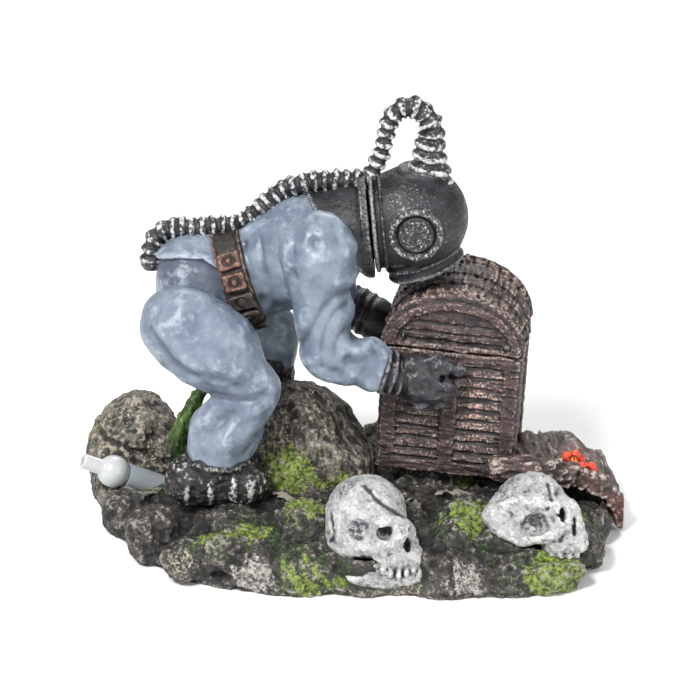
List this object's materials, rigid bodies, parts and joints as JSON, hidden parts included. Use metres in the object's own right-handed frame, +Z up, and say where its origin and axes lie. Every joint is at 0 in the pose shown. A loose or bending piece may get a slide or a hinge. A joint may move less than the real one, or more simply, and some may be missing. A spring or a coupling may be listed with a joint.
{
  "type": "air-driven aquarium ornament",
  "caption": "Helmet diver bent over a treasure chest on a rocky base; air fed in through a side nozzle fills the hollow lid, which lifts on its hinge and lets bubbles out.",
  "frame": {"origin": "on the flat underside of the base, below the middle of the ornament", "axes": "+X along the base from the air inlet towards the chest's far side, +Y away from the front, +Z up"},
  "size_m": [0.1407, 0.0822, 0.1116],
  "materials": {
    "rock": "rough, dark wash with pale dry-brushed edges and patches of moss",
    "driftwood": "reddish brown, fibrous",
    "coral": "orange-red, yellow in the middle",
    "weed": "mottled green",
    "bone": "off-white, grey in the hollows",
    "suit": "blue-grey satin paint, darker in the folds",
    "boots": "black with white dry-brushed edges",
    "gloves": "near-black, softly worn",
    "belt": "dark bronze",
    "weights": "copper-coloured paint",
    "helmet_metal": "gunmetal paint with silver dry-brushing",
    "hose": "black with silver dry-brushed ribs",
    "chest_wood": "dark maroon-brown with pinkish worn slats",
    "steel": "plain pin",
    "clear_tube": "translucent silicone, held in the base",
    "white_plastic": "translucent white moulding"
  },
  "bodies": {
    "ornament": {"base_rock": "rock", "centre_boulder": "rock", "left_boulder": "rock", "chest_rock": "rock", "driftwood_bark": "driftwood", "driftwood_branch": "driftwood", "coral_polyps": "coral", "seaweed": "weed", "front_skull": "bone", "right_skull": "bone", "torso": "suit", "left_leg": "suit", "right_leg": "suit", "left_arm": "suit", "right_arm": "suit", "left_boot": "boots", "right_boot": "boots", "left_glove": "gloves", "right_glove": "gloves", "belt": "belt", "belt_weights": "weights", "belt_pouches": "belt", "corselet": "helmet_metal", "helmet": "helmet_metal", "front_window": "helmet_metal", "left_window": "helmet_metal", "right_window": "helmet_metal", "hose_loop": "hose", "hose_back": "hose", "chest_body": "chest_wood", "hinge_pin": "steel", "air_tube": "clear_tube", "inlet_nozzle": "white_plastic", "air_riser": "white_plastic"},
    "lid": {"chest_lid": "chest_wood"}
  },
  "joints": [
    {"name": "lid_hinge", "type": "hinge", "parent": "ornament", "child": "lid", "pos_m": [0.04038, 0.00391, 0.05146], "axis": [0.1392, 0.9903, 0], "range_deg": [0, 6]}
  ]
}
